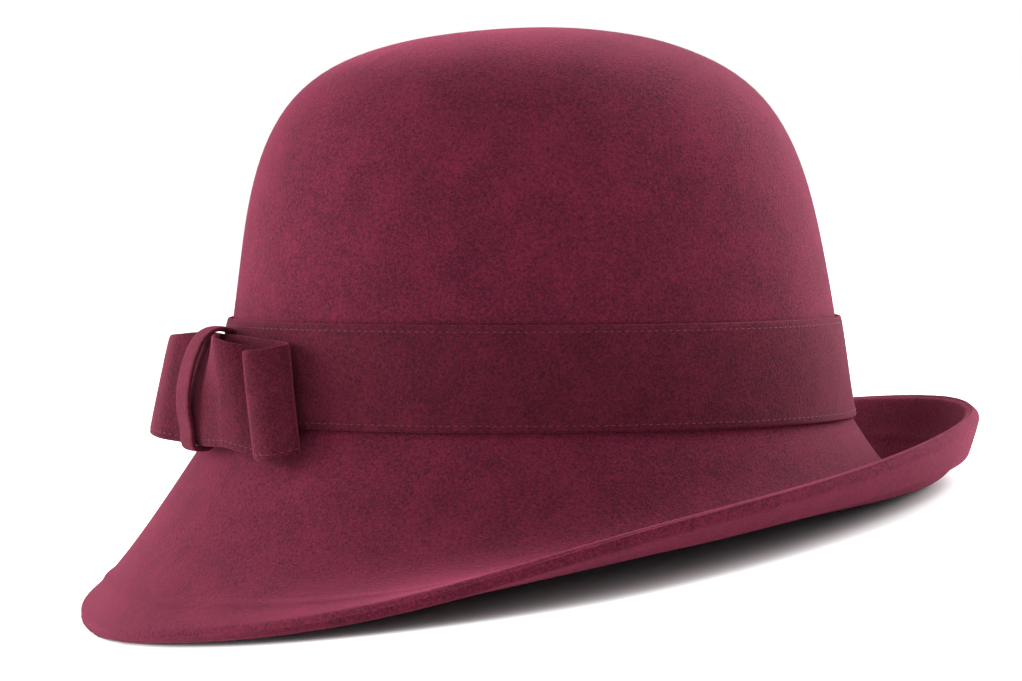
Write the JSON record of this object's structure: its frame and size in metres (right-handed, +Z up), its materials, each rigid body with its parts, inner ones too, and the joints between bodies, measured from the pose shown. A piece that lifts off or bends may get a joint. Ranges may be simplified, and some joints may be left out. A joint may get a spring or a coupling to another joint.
{
  "type": "cloche hat",
  "caption": "Blocked felt cloche hat with a domed crown, a brim that dips in front and turns up behind, a felt band and a flat felt bow.",
  "frame": {"origin": "on the surface that the hat lies on, under the middle of its box", "axes": "+Z up; -X is the hat's front; -Y is the wearer's left; the hat leans back onto its brim by 9.3 degrees"},
  "size_m": [0.2966, 0.3132, 0.1683],
  "materials": {
    "hood_felt": "matt burgundy wool felt with a soft nap",
    "trim_felt": "matt burgundy wool felt, thinner, with cut edges"
  },
  "bodies": {
    "root": {"felt_hood": "hood_felt", "hat_band": "trim_felt", "bow_ribbon": "trim_felt", "bow_knot": "trim_felt"}
  },
  "joints": []
}
